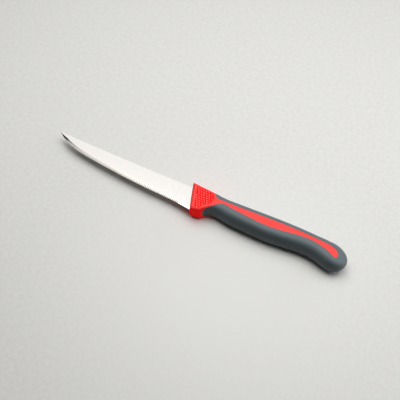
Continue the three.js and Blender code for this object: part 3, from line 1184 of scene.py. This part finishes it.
@dataclass
class Blade:
    """The steel blade: a plate with a toothed edge ground from both sides, and the tang in the handle."""

    form: HandleForm
    thickness: float = 1.0 * MM
    spine_dip: float = 0.5 * MM
    heel_width: float = 18.0 * MM
    heel_gap: float = 3.0 * MM
    edge_points: tuple[Place, ...] = (
        (0.0, 0.25 * MM), (4.7 * MM, 3.4 * MM), (11.7 * MM, 6.6 * MM), (20.7 * MM, 9.4 * MM),
        (42.7 * MM, 12.5 * MM), (72.7 * MM, 15.2 * MM), (109.7 * MM, 16.9 * MM),
        (119.93 * MM, 18.0 * MM),
    )
    root_depth: float = 4.7 * MM
    bevel_width: float = 2.0 * MM
    bevel_most_share: float = 0.4
    edge_thickness: float = 0.12 * MM
    spine_round: float = 0.12 * MM
    spine_round_most_share: float = 0.05
    tooth_pitch: float = 1.35 * MM
    tooth_depth: float = 0.35 * MM
    flute_depth: float = 0.08 * MM
    toothless_tip: float = 2.0 * MM
    tooth_lead: float = 13.0 * MM
    steps_per_tooth: int = 10
    tip_stations: int = 14
    root_stations: int = 26
    flat_shares: tuple[float, ...] = (0.35, 0.7, 0.96, 1.0)
    bevel_shares: tuple[float, ...] = (0.15, 0.3, 0.45, 0.6, 0.75, 0.9, 1.0)
    tang_length: float = 80.0 * MM
    tang_width: float = 7.6 * MM
    tang_drop: float = 6.6 * MM
    holes_x: tuple[float, ...] = (30.0 * MM, 50.0 * MM, 70.0 * MM)
    hole_diameter: float = 4.2 * MM
    fit_gap: float = 0.05 * MM
    slot_front: float = -14.1 * MM

    def root_x(self) -> float:
        """Where the full-width root ends inside the bolster."""
        return float(self.form.front_x(-self.heel_width, 0.0)) + self.root_depth

    def spine_y(self, x: Array) -> Array:
        """The spine's heights, with its slight hollow."""
        share = np.clip(-x / BLADE_LENGTH, 0.0, 1.0)
        return -self.spine_dip * arch(share)

    def edge_y(self, x: Array) -> Array:
        """The heights of the line through the teeth's points."""
        return -SmoothLine(self.edge_points, level_ends=False)(x + BLADE_LENGTH)

    def stations(self) -> tuple[Array, Array, Array]:
        """Sections from the tip to the root.

        Returns:
            Their x, how far each lies along the teeth, and from 0 to 1 how deep the teeth are.
        """
        first = -BLADE_LENGTH + self.toothless_tip
        last = -self.heel_gap
        teeth = round((last - first) / self.tooth_pitch)
        toothed = np.linspace(first, last, teeth * self.steps_per_tooth + 1)
        tip = np.linspace(-BLADE_LENGTH, first, self.tip_stations)[:-1]
        root = np.linspace(last, self.root_x(), self.root_stations)[1:]
        x = np.concatenate([tip, toothed, root])
        along = (x - first) / (last - first) * teeth * self.tooth_pitch
        return x, along, ease((x - first) / self.tooth_lead) * (x <= last)

    def plate(self) -> Piece:
        """Makes the plate from tip to root, its edge still without teeth.

        Returns:
            The object, with what the flutes need as attributes.
        """
        x, along, toothed = self.stations()
        spine = self.spine_y(x)
        edge = self.edge_y(x)
        bevel = np.minimum(self.bevel_width, self.bevel_most_share * (spine - edge))
        turn = np.minimum(self.spine_round, self.spine_round_most_share * (spine - edge))
        half = np.full_like(x, self.thickness / 2.0)
        ground = edge + bevel
        corner = 1.0 - math.sqrt(0.5)
        columns = [
            (spine, half - turn, 0.0),
            (spine - corner * turn, half - corner * turn, 0.0),
            (spine - turn, half, 0.0),
        ]
        for share in self.flat_shares:
            columns.append((mix(spine - turn, ground, share), half, 0.0))
        for share in self.bevel_shares:
            columns.append((mix(ground, edge, share), mix(half, self.edge_thickness / 2.0, share), share))
        upper = np.stack([np.stack([x, y, z], axis=-1) for y, z, _ in columns], axis=1)
        ring = np.concatenate([upper, mirrored(upper[:, ::-1])], axis=1)
        shares = np.array([share for _, _, share in columns])
        sides = np.repeat([1.0, -1.0], len(columns))
        count = ring.shape[1]
        faces = grid_faces(len(x), count, closed=True)
        last = (len(x) - 1) * count
        faces += [tuple(range(count)), tuple(range(last, last + count))]
        piece = new_piece("blade", ring, faces)
        values = {
            "bevel": np.tile(np.concatenate([shares, shares[::-1]]), len(x)),
            "side": np.tile(sides, len(x)),
            "along": np.repeat(along, count),
            "toothed": np.repeat(toothed, count),
        }
        for name, value in values.items():
            mark(piece, name, value)
        return piece

    def tang_y(self) -> Place:
        """The heights of the tang's two edges, the lower first."""
        return -self.tang_drop - self.tang_width / 2.0, -self.tang_drop + self.tang_width / 2.0

    def slot_outline(self) -> list[Place]:
        """The outline of the slot that holds root and tang, a gap wider than they are.

        Returns:
            Its corners in x and y, the first and last in front of the bolster.
        """
        gap = self.fit_gap
        front = self.slot_front
        root = self.root_x() + gap
        end = self.tang_length + gap
        low, top = self.tang_y()
        low -= gap
        top += gap
        foot = -self.heel_width - gap
        below = [(front, foot), (root, foot), (root, low), (end, low)]
        return below + [(end, top), (root, top), (root, gap), (front, gap)]

    def pegs(self, shrink: float, half_height: float) -> list[Piece]:
        """Short round bars where the tang's holes are.

        Args:
            shrink: How much smaller than the holes they are.
            half_height: How far they reach above and below the middle.

        Returns:
            The bars.
        """
        radius = self.hole_diameter / 2.0 - shrink
        outlines = [disc_outline((x, -self.tang_drop), radius) for x in self.holes_x]
        return [prism("peg", outline, half_height) for outline in outlines]

    def build(self, flutes: FluteTool, finish: Finish) -> Piece:
        """Makes the blade: plate, flutes, tang and the tang's holes.

        Args:
            flutes: The tool that grinds the edge.
            finish: The steel.

        Returns:
            The object.
        """
        piece = self.plate()
        flutes.run(
            piece,
            Pitch=self.tooth_pitch,
            Tooth_Depth=self.tooth_depth,
            Flute_Depth=self.flute_depth,
            Finish=finish,
        )
        low, top = self.tang_y()
        front = self.root_x() - self.root_depth / 2.0
        outline = [(front, low), (self.tang_length, low), (self.tang_length, top), (front, top)]
        combine(piece, prism("tang", outline, self.thickness / 2.0), Cut.ADD)
        for hole in self.pegs(0.0, self.thickness):
            combine(piece, hole, Cut.TAKE_AWAY)
        for name in ("bevel", "side", "along", "toothed"):
            if name in piece.data.attributes:
                piece.data.attributes.remove(piece.data.attributes[name])
        return piece


@dataclass
class HandleCore:
    """The red moulding: bolster, stripe on both faces, the core under the grip and the pegs in the tang."""

    form: HandleForm
    red_columns: int = 72
    hidden_columns: int = 10
    wall: float = 2.2 * MM
    stripe_sink: float = 0.05 * MM
    front_round: float = 0.5 * MM
    front_round_rows: int = 6
    front_rows: int = 16
    join_x: float = 14.3 * MM
    steep_shade: Place = (0.3, 0.7)
    bolster_rows: int = 46
    corner_rows: int = 14

    def padded_row(self, rows: Array) -> Array:
        """Adds the columns of the hidden parts, closed up, at both ends of rows of the red.

        Args:
            rows: The points of each row.

        Returns:
            The longer rows.
        """
        first = np.repeat(rows[:, :1], self.hidden_columns, axis=1)
        last = np.repeat(rows[:, -1:], self.hidden_columns, axis=1)
        return np.concatenate([first, rows, last], axis=1)

    def front(self) -> Array:
        """Lays rows over the bolster, from the middle of its front over the rim and back along it.

        Returns:
            The rows' points.
        """
        form = self.form
        around = np.linspace(0.0, BELLY_END, self.red_columns)
        rim_x = form.front_rim(around)
        under = form.surface(rim_x, around, self.front_round)
        rows = []
        for share in np.linspace(0.0, 1.0, self.front_rows, endpoint=False):
            z = under[:, 2] * share
            rows.append(np.stack([form.front_x(under[:, 1], z), under[:, 1], z], axis=-1))
        inner = np.column_stack([form.front_x(under[:, 1], under[:, 2]), under[:, 1], under[:, 2]])
        rim = form.surface(rim_x, around)
        back_x = rim_x + self.front_round
        back = form.surface(back_x, around)
        for t in np.linspace(0.0, 1.0, self.front_round_rows):
            rows.append((1.0 - t) ** 2 * inner + 2.0 * t * (1.0 - t) * rim + t**2 * back)
        for t in np.linspace(0.0, 1.0, self.bolster_rows)[1:]:
            rows.append(form.surface(mix(back_x, self.join_x, t), around))
        return self.padded_row(np.stack(rows))

    def corner(self) -> Array:
        """Lays rows from the bolster to the grip's front, in which the belly's hidden columns open.

        Returns:
            The rows' points.
        """
        form = self.form
        low = form.stripe(np.array([form.belly_band_front]))[1][0]
        hidden = np.linspace(0.0, 1.0, self.hidden_columns)
        rows = []
        for share in np.linspace(0.0, 1.0, self.corner_rows)[1:]:
            edge = mix(BELLY_END, low, share)
            red = np.linspace(0.0, edge, self.red_columns)
            around = np.concatenate([0.0 * hidden, red, mix(edge, BELLY_END, hidden)])
            rows.append(form.surface(mix(self.join_x, form.belly_band_front, share), around))
        return np.stack(rows)

    def row(self, x: float, spine_hidden: bool, belly_hidden: bool, past_stripe: bool) -> Array:
        """One section behind the bolster.

        Args:
            x: Where it is.
            spine_hidden: Whether the grip covers the spine here.
            belly_hidden: Whether the grip covers the belly here.
            past_stripe: Whether the grip covers everything here.

        Returns:
            The points of its upper half, from the spine to the belly.
        """
        form = self.form
        top, low = form.stripe(np.array([min(x, form.stripe_end)]))
        share = np.linspace(0.0, 1.0, self.hidden_columns)
        sink = self.stripe_sink * ease((x - form.belly_band_lead[0]) / form.belly_band_lead[1])
        if past_stripe:
            sink = self.wall
        parts = [
            form.surface(x, top * share, self.wall if spine_hidden else 0.0),
            form.surface(x, mix(top, low, np.linspace(0.0, 1.0, self.red_columns)), sink),
            form.surface(x, mix(low, BELLY_END, share), self.wall if belly_hidden else 0.0),
        ]
        return np.concatenate(parts)

    def behind(self) -> Array:
        """Lays rows from the grip's front to the core's end, doubled where the grip's edges start or end.

        Returns:
            The rows' points.
        """
        form = self.form
        end = form.stripe_end
        tail = (form.length - self.wall - end) / (form.length - end)
        rows = []
        for x in form.stations():
            on_spine = x > form.spine_band_front
            if x <= end:
                rows.append(self.row(x, on_spine, x > form.belly_band_front, False))
            if x == form.belly_band_front:
                rows.append(self.row(x, False, True, False))
            if x == form.spine_band_front:
                rows.append(self.row(x, True, True, False))
            if x >= end:
                rows.append(self.row(end + (x - end) * tail, True, True, True))
        return np.stack(rows)

    def build(self, blade: Blade) -> Piece:
        """Makes the core with the slot that holds the tang, and marks the pad's hollow floor and its
        steeply sloping sides for painted shading.

        Args:
            blade: The blade that it holds.

        Returns:
            The object.
        """
        upper = np.concatenate([self.front(), self.corner(), self.behind()])
        ring = np.concatenate([upper, mirrored(upper[:, -2:0:-1])], axis=1)
        piece = new_piece("handle_core", ring, grid_faces(len(ring), ring.shape[1], closed=True))
        half = blade.thickness / 2.0 + blade.fit_gap
        combine(piece, prism("slot", blade.slot_outline(), half), Cut.TAKE_AWAY)
        for peg in blade.pegs(blade.fit_gap, 2.0 * half):
            combine(piece, peg, Cut.ADD)
        points = places_of(piece)
        # Painted shading on steeply sloping sides and on the pad's hollow floor.
        upright = np.abs(normals_of(piece)[:, 2])
        steep_shade = 1.0 - ease((upright - self.steep_shade[0]) / (self.steep_shade[1] - self.steep_shade[0]))
        pad = ease(self.form.inside_pad(points[:, 0], points[:, 1]) / self.form.pad_edge)
        mark(piece, PAINTED_LIGHT_MARK, -np.maximum(pad, steep_shade))
        return piece


@dataclass
class SoftGrip:
    """The grey shell over the core: spine strip, belly and butt in one, open where the red stripe shows."""

    form: HandleForm
    wall: float = 2.15 * MM
    rim_round: float = 0.25 * MM
    painted_shade_facing: Place = (0.3, 0.9)
    columns: int = 26
    lean: float = 1.6

    def strips(self) -> list[tuple[Array, Array]]:
        """The spine's and the belly's strip of the upper half.

        Returns:
            For each, the x of its rows and the places round the section, from the red's edge outwards.
        """
        form = self.form
        x = form.stations()
        share = np.linspace(0.0, 1.0, self.columns) ** self.lean
        strips = []
        for start, edge, last in ((form.spine_band_front, 0, 0.0), (form.belly_band_front, 1, BELLY_END)):
            rows = x[x >= start]
            red = form.stripe(np.minimum(rows, form.stripe_end))[edge]
            strips.append((rows, mix(red[:, None], last, share)))
        return strips

    def rim_drop(self, points: Array, rim: KDTree) -> Array:
        """How far the shell's edge at the stripe is rounded off.

        Args:
            points: Places on the outside.
            rim: The edge.

        Returns:
            The drop at each place.
        """
        flat = points.reshape(-1, 3)
        near = np.array([rim.find(point)[2] for point in flat]).reshape(points.shape[:-1])
        left = np.maximum(self.rim_round - near, 0.0)
        return self.rim_round - np.sqrt(self.rim_round**2 - left**2)

    def rim_curve(self, strips: list[tuple[Array, Array]]) -> KDTree:
        """Gathers the edge of the stripe's window, for measuring distances to it.

        Args:
            strips: The strips whose first columns are the edge.

        Returns:
            The edge's points.
        """
        form = self.form
        edges = [form.surface(x, around[:, 0])[x <= form.stripe_end] for x, around in strips]
        points = np.concatenate(edges)
        tree = KDTree(len(points))
        for number, point in enumerate(points):
            tree.insert(point, number)
        tree.balance()
        return tree

    def build(self) -> Piece:
        """Makes the shell: outside, inside and the walls of the stripe's windows.

        Returns:
            The object, with its belly side marked for painted shade.
        """
        form = self.form
        strips = self.strips()
        rim = self.rim_curve(strips)
        tail = (form.length - self.wall - form.stripe_end) / (form.length - form.stripe_end)
        points = []
        faces = []
        for x, around in strips:
            outside = form.surface(x[:, None], around)
            outside = form.surface(x[:, None], around, self.rim_drop(outside, rim))
            past = np.maximum(x - form.stripe_end, 0.0)
            inside = form.surface((x - past + past * tail)[:, None], around, self.wall)
            rows, columns = around.shape
            quads = grid_faces(rows, columns)
            walled = int(np.sum(x <= form.stripe_end))
            for half in (np.array, mirrored):
                start = sum(len(block) for block in points)
                for skin in (outside, inside):
                    shift = sum(len(block) for block in points)
                    points.append(half(skin).reshape(-1, 3))
                    faces += [tuple(number + shift for number in quad) for quad in quads]
                inner = start + rows * columns
                border = [row * columns for row in range(walled - 1, 0, -1)] + list(range(columns))
                for here, following in zip(border, border[1:]):
                    faces.append((start + here, start + following, inner + following, inner + here))
        piece = new_piece("soft_grip", np.concatenate(points), faces)
        # Painted shade on the belly side, which faces the front.
        facing = -normals_of(piece)[:, 1]
        mark(piece, PAINTED_LIGHT_MARK, -ease((facing - self.painted_shade_facing[0]) / (self.painted_shade_facing[1] - self.painted_shade_facing[0])))
        return piece


@dataclass
class DotField:
    """Rows of domed dots that follow a part of the handle's outside, each marked for a painted highlight.
    """

    name: str
    pitch: float
    row_step: float
    radius: float
    height: float
    both_faces: bool
    spare: int = 2

    def build(self, tool: DotTool, points: Array, flat: Array, keep: Array,
              finish: Finish) -> Piece:
        """Makes the dots.

        Args:
            tool: The tool that sets them.
            points: A grid of points on the outside.
            flat: The place of each on the flat lattice.
            keep: Which of the grid's points the dots may reach.
            finish: Their material.

        Returns:
            The object.
        """
        rows, columns = keep.shape
        kept = keep.reshape(-1)
        faces = [quad for quad in grid_faces(rows, columns) if all(kept[number] for number in quad)]
        piece = new_piece(self.name, points, faces, closed=False)
        lattice = piece.data.attributes.new("lattice", "FLOAT_VECTOR", "POINT")
        lattice.data.foreach_set("vector", flat.reshape(-1))
        low = flat.reshape(-1, 3)[kept].min(axis=0)
        high = flat.reshape(-1, 3)[kept].max(axis=0)
        tool.run(
            piece,
            Pitch=self.pitch,
            Row_Step=self.row_step,
            Columns=self.spare + math.ceil((high[0] - low[0]) / self.pitch),
            Rows=self.spare + math.ceil((high[1] - low[1]) / self.row_step),
            Middle_X=(low[0] + high[0]) / 2.0,
            Middle_Y=(low[1] + high[1]) / 2.0,
            Radius=self.radius,
            Height=self.height,
            Both_Faces=self.both_faces,
            Finish=finish,
        )
        # Every dot gets the painted highlight colour.
        mark(piece, PAINTED_LIGHT_MARK, np.ones(len(piece.data.vertices)))
        return piece


@dataclass
class ThumbPad:
    """The dotted pads on the bolster's two faces."""

    form: HandleForm
    dots: DotField = field(default_factory=lambda: DotField(
        name="thumb_pad_dots",
        pitch=2.05 * MM,
        row_step=1.85 * MM,
        radius=0.64 * MM,
        height=0.60 * MM,
        both_faces=True,
    ))
    last_x: float = 22.0 * MM
    cell: float = 0.25 * MM
    around: Place = (0.45, 2.6)
    columns: int = 140
    rim: float = 0.4 * MM

    def build(self, tool: DotTool, finish: Finish) -> Piece:
        """Makes the dots of both pads.

        Args:
            tool: The tool that sets them.
            finish: Their material.

        Returns:
            The object.
        """
        form = self.form
        x = np.arange(0.0, self.last_x, self.cell)[:, None]
        around = np.linspace(*self.around, self.columns)[None, :]
        points = form.surface(x, around)
        y = points[..., 1]
        keep = form.inside_pad(points[..., 0], y) > self.rim
        flat = np.stack([points[..., 0], y, np.zeros_like(y)], axis=-1)
        return self.dots.build(tool, points[:, ::-1], flat[:, ::-1], keep[:, ::-1], finish)


@dataclass
class SpineDots:
    """The dotted strip along the grip's spine."""

    form: HandleForm
    dots: DotField = field(default_factory=lambda: DotField(
        name="spine_grip_dots",
        pitch=2.0 * MM,
        row_step=1.6 * MM,
        radius=0.60 * MM,
        height=0.20 * MM,
        both_faces=False,
    ))
    first_x: float = 26.0 * MM
    last_x: float = 104.0 * MM
    half_width: float = 7.2 * MM
    rows: int = 160
    columns: int = 41

    def build(self, tool: DotTool, finish: Finish) -> Piece:
        """Makes the dots of the strip.

        Args:
            tool: The tool that sets them.
            finish: Their material.

        Returns:
            The object.
        """
        x = np.linspace(self.first_x, self.last_x, self.rows)[:, None]
        around = np.linspace(0.0, 1.0, self.columns)[None, :]
        upper = self.form.surface(x, around)
        steps = np.linalg.norm(np.diff(upper, axis=1), axis=-1)
        reach = np.concatenate([np.zeros((self.rows, 1)), np.cumsum(steps, axis=1)], axis=1)
        points = np.concatenate([mirrored(upper[:, :0:-1]), upper], axis=1)
        across = np.concatenate([-reach[:, :0:-1], reach], axis=1)
        flat = np.stack([points[..., 0], across, np.zeros_like(across)], axis=-1)
        keep = np.abs(across) < self.half_width
        return self.dots.build(tool, points, flat, keep, finish)


@dataclass
class GateMark:
    """The small round mark that the mould's gate left on the stripe."""

    form: HandleForm
    middle: Place = (44.6 * MM, -6.8 * MM)
    radius: float = 0.55 * MM
    height: float = 0.07 * MM
    profile: tuple[Place, ...] = (
        (0.0, -1.0), (1.0, -1.0), (1.0, 0.0), (0.85, 0.8),
        (0.7, 1.0), (0.55, 0.7), (0.35, 0.2), (0.0, 0.1),
    )
    shade: float = 0.6
    shade_turn: Place = (0.3, 0.55)
    sides: int = 24

    def build(self) -> Piece:
        """Makes the mark, a low ring with a painted highlight round a small hollow with painted shade.

        Returns:
            The object.
        """
        x = np.array([self.middle[0]])
        y = np.array([self.middle[1]])
        floor = self.form.surface(x, self.form.around_at(x, y))[0, 2]
        rows = []
        for out, up in self.profile:
            ring = disc_outline(self.middle, out * self.radius, self.sides)
            rows.append([(*place, floor + up * self.height) for place in ring])
        piece = new_piece("gate_mark", np.array(rows), grid_faces(len(rows), self.sides, closed=True))
        out = np.hypot(*(places_of(piece)[:, :2] - self.middle).T) / self.radius
        low, high = self.shade_turn
        # Painted shade in the hollow, painted highlight on the ring.
        mark(piece, PAINTED_LIGHT_MARK, self.shade * mix(-1.0, 1.0, ease((out - low) / (high - low))))
        return piece


@dataclass(frozen=True)
class SoftPanel:
    """A level rectangle of even light."""

    name: str
    x: Place
    y: Place
    height: float
    level: float

    def hang(self) -> None:
        """Hangs the panel over the knife."""
        lamp = bpy.data.lights.new(self.name, "AREA")
        lamp.shape = "RECTANGLE"
        lamp.size = self.x[1] - self.x[0]
        lamp.size_y = self.y[1] - self.y[0]
        lamp.energy = self.level * math.pi * lamp.size * lamp.size_y
        panel = bpy.data.objects.new(self.name, lamp)
        panel.location = (sum(self.x) / 2.0, sum(self.y) / 2.0, self.height)
        bpy.context.scene.collection.objects.link(panel)


@dataclass
class Studio:
    """The pale floor, the soft light and the camera."""

    floor_size: float = 12.0
    target: Triple = (3.0 * MM, 6.16 * MM, 0.0)
    azimuth: float = math.radians(27.36)
    elevation: float = math.radians(55.3)
    distance: float = 556.2 * MM
    focal_length: float = 69.03
    film_width: float = 36.0
    nearest: float = 0.01
    panels: tuple[SoftPanel, ...] = (
        SoftPanel("near_panel", (-0.33, 0.36), (-0.075, 0.23), 0.5, 3.65),
        SoftPanel("back_panel", (-1.20, 1.40), (0.54, 1.50), 1.3, 1.62),
        SoftPanel("side_panel", (0.55, 1.60), (-0.05, 1.00), 0.51, 1.4),
    )
    bright_wall: Colour = (2.6, 2.6, 2.6)
    dim_room: Colour = (0.04, 0.04, 0.04)
    bright_way: Triple = (0.42, 0.907, 0.0)
    bright_turn: Place = (0.85, 0.97)
    wall_top: Place = (0.30, 0.42)
    backdrop: Colour = (0.72, 0.715, 0.69)
    backdrop_top: Place = (0.25, 0.55)

    def floor(self) -> None:
        """Lays the sheet that the knife lies on."""
        half = self.floor_size / 2.0
        corners = [(-half, -half, 0.0), (half, -half, 0.0), (half, half, 0.0), (-half, half, 0.0)]
        sheet = new_piece("floor", np.array(corners), [(0, 1, 2, 3)], closed=False)
        sheet.data.materials.append(PalePaper().material())

    def light(self) -> None:
        """Hangs the panels in a dim room with a bright wall behind and to the right and a pale backdrop."""
        for panel in self.panels:
            panel.hang()
        world = bpy.data.worlds.new("room")
        bpy.context.scene.world = world
        world.use_nodes = True
        graph = Graph(world.node_tree)
        way = graph.wire("ShaderNodeTexCoord", "Generated")
        height = graph.wire("ShaderNodeSeparateXYZ", "Z", Vector=way)
        settings = {"operation": "DOT_PRODUCT"}
        facing = graph.wire("ShaderNodeVectorMath", "Value", settings, in_0=way, in_1=self.bright_way)
        towards = graph.stretched(facing, *self.bright_turn)
        wall = towards * (1.0 - graph.stretched(height, *self.wall_top))
        below = 1.0 - graph.stretched(height, *self.backdrop_top)
        light = graph.between(self.dim_room, self.bright_wall, wall)
        light = graph.between(light, self.backdrop, below * (1.0 - wall) * graph.seen())
        graph.feed(world.node_tree.nodes["Background"].inputs["Color"], light)

    def camera(self) -> None:
        """Sets the camera where the photograph was taken from."""
        lens = bpy.data.cameras.new("camera")
        lens.sensor_fit = "HORIZONTAL"
        lens.sensor_width = self.film_width
        lens.lens = self.focal_length
        lens.clip_start = self.nearest
        level = math.cos(self.elevation)
        right = math.sin(self.azimuth) * level
        back = Vector((right, -math.cos(self.azimuth) * level, math.sin(self.elevation)))
        eye = bpy.data.objects.new("camera", lens)
        eye.location = Vector(self.target) + back * self.distance
        eye.rotation_euler = (Vector(self.target) - eye.location).to_track_quat("-Z", "Y").to_euler()
        bpy.context.scene.collection.objects.link(eye)
        bpy.context.scene.camera = eye

    def build(self) -> None:
        """Sets up floor, light, camera and the plain view of colours."""
        self.camera()
        self.floor()
        self.light()
        bpy.context.scene.view_settings.view_transform = "Standard"


def main() -> None:
    """Builds the knife piece by piece and the studio round it."""
    logging.basicConfig(level=logging.INFO, format="%(name)s: %(message)s")
    Studio().build()
    shop = Workshop()
    steel = Slot.STEEL
    red = Slot.RED_PLASTIC
    grey = Slot.GREY_RUBBER
    form = HandleForm()
    blade = Blade(form)
    dot_tool = DotTool()
    shop.hand_over(blade.build(FluteTool(), shop.finishes[steel]), steel, Sharp.BLADE, "blade")
    shop.hand_over(HandleCore(form).build(blade), red, Sharp.CORE, "handle_core")
    shop.hand_over(SoftGrip(form).build(), grey, Sharp.GRIP, "soft_grip")
    shop.hand_over(ThumbPad(form).build(dot_tool, shop.finishes[red]), red, Sharp.SMALL)
    shop.hand_over(SpineDots(form).build(dot_tool, shop.finishes[grey]), grey, Sharp.SMALL)
    shop.hand_over(GateMark(form).build(), red, Sharp.SMALL)


if __name__ == "__main__":
    main()
